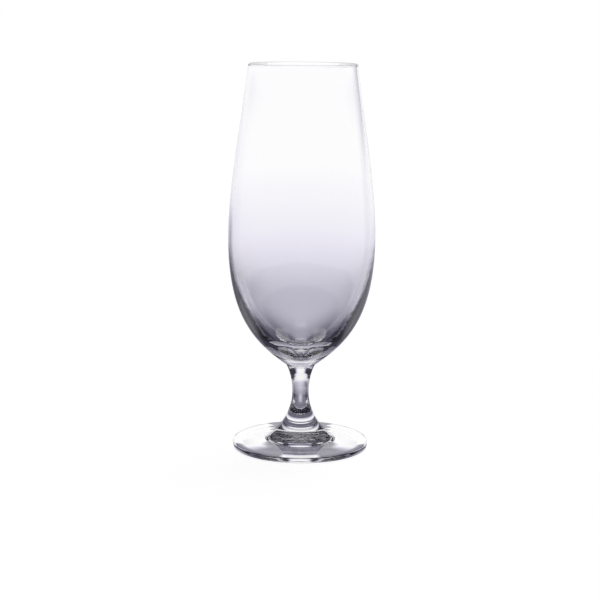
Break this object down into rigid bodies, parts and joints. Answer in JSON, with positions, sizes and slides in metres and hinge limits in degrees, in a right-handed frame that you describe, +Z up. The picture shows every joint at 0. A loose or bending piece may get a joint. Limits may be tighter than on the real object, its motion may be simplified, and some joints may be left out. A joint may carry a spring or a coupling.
{
  "type": "pilsner glass",
  "caption": "Clear footed pilsner beer glass: tall tapering bowl with a full belly and heavy pointed base, on a short waisted stem and a round foot.",
  "frame": {"origin": "on the table, under the centre of the foot", "axes": "+Z up along the axis of the glass; the glass is round, so +X and +Y are free"},
  "size_m": [0.0724, 0.0724, 0.19],
  "materials": {
    "clear_glass": "polished"
  },
  "bodies": {
    "root": {"bowl": "clear_glass", "stem": "clear_glass", "foot": "clear_glass"}
  },
  "joints": []
}
